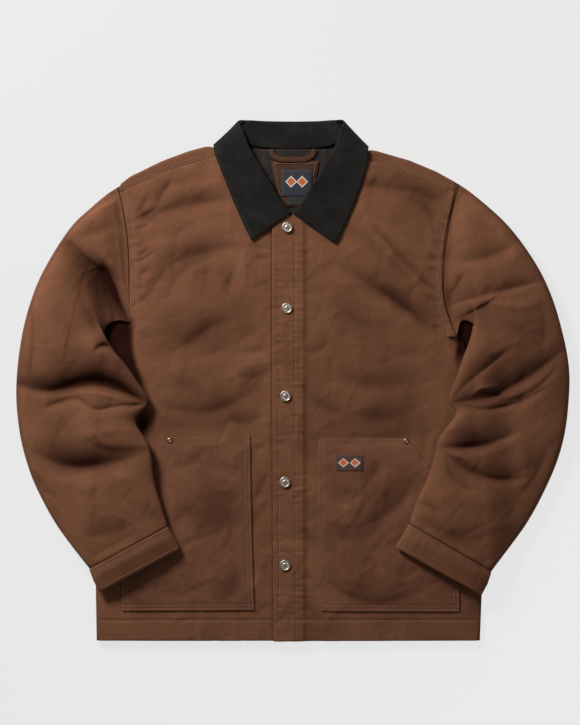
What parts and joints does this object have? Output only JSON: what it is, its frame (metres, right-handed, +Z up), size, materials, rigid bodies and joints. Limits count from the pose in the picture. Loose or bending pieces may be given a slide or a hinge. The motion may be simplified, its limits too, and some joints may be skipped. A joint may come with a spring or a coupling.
{
  "type": "barn jacket",
  "caption": "Canvas barn jacket laid flat on its back, front up: snap front closed, pointed dark collar, slant-cornered patch pockets, plain cuffs.",
  "frame": {"origin": "centre of the bounding box's bottom, on the surface that the jacket lies on", "axes": "+X across the jacket towards the viewer's right (the wearer's left), +Y from hem to collar, +Z up from the surface, out of the jacket's front"},
  "size_m": [0.8016, 0.7566, 0.0432],
  "materials": {
    "duck_canvas": "brushed, matt cotton duck",
    "duck_canvas_back": "brushed, matt cotton duck",
    "moleskin_collar": "short brushed nap, matt",
    "nylon_lining": "satin sheen",
    "woven_neck_label": "woven, matt",
    "woven_size_tag": "woven, matt",
    "pocket_label_leather": "matt",
    "antique_pewter": "antique, darkened",
    "antique_rivet": "antique copper, darkened"
  },
  "bodies": {
    "root": {"back": "duck_canvas_back", "collar_leaf": "moleskin_collar", "collar_stand": "moleskin_collar", "cuff_left": "duck_canvas", "cuff_right": "duck_canvas", "front_left": "duck_canvas", "front_right": "duck_canvas", "hanger_loop": "duck_canvas", "neck_facing_patch": "duck_canvas", "neck_label": "woven_neck_label", "neck_lining": "nylon_lining", "pocket_label": "pocket_label_leather", "pocket_left": "duck_canvas", "pocket_right": "duck_canvas", "rivet_left": "antique_rivet", "rivet_right": "antique_rivet", "size_tag": "woven_size_tag", "sleeve_under_left_arm": "duck_canvas_back", "sleeve_under_left_elbow": "duck_canvas_back", "sleeve_under_left_forearm": "duck_canvas_back", "sleeve_under_right_arm": "duck_canvas_back", "sleeve_under_right_elbow": "duck_canvas_back", "sleeve_under_right_forearm": "duck_canvas_back", "sleeve_upper_left_arm": "duck_canvas", "sleeve_upper_left_elbow": "duck_canvas", "sleeve_upper_left_forearm": "duck_canvas", "sleeve_upper_right_arm": "duck_canvas", "sleeve_upper_right_elbow": "duck_canvas", "sleeve_upper_right_forearm": "duck_canvas", "snap_1": "antique_pewter", "snap_2": "antique_pewter", "snap_3": "antique_pewter", "snap_4": "antique_pewter", "snap_5": "antique_pewter"}
  },
  "joints": []
}
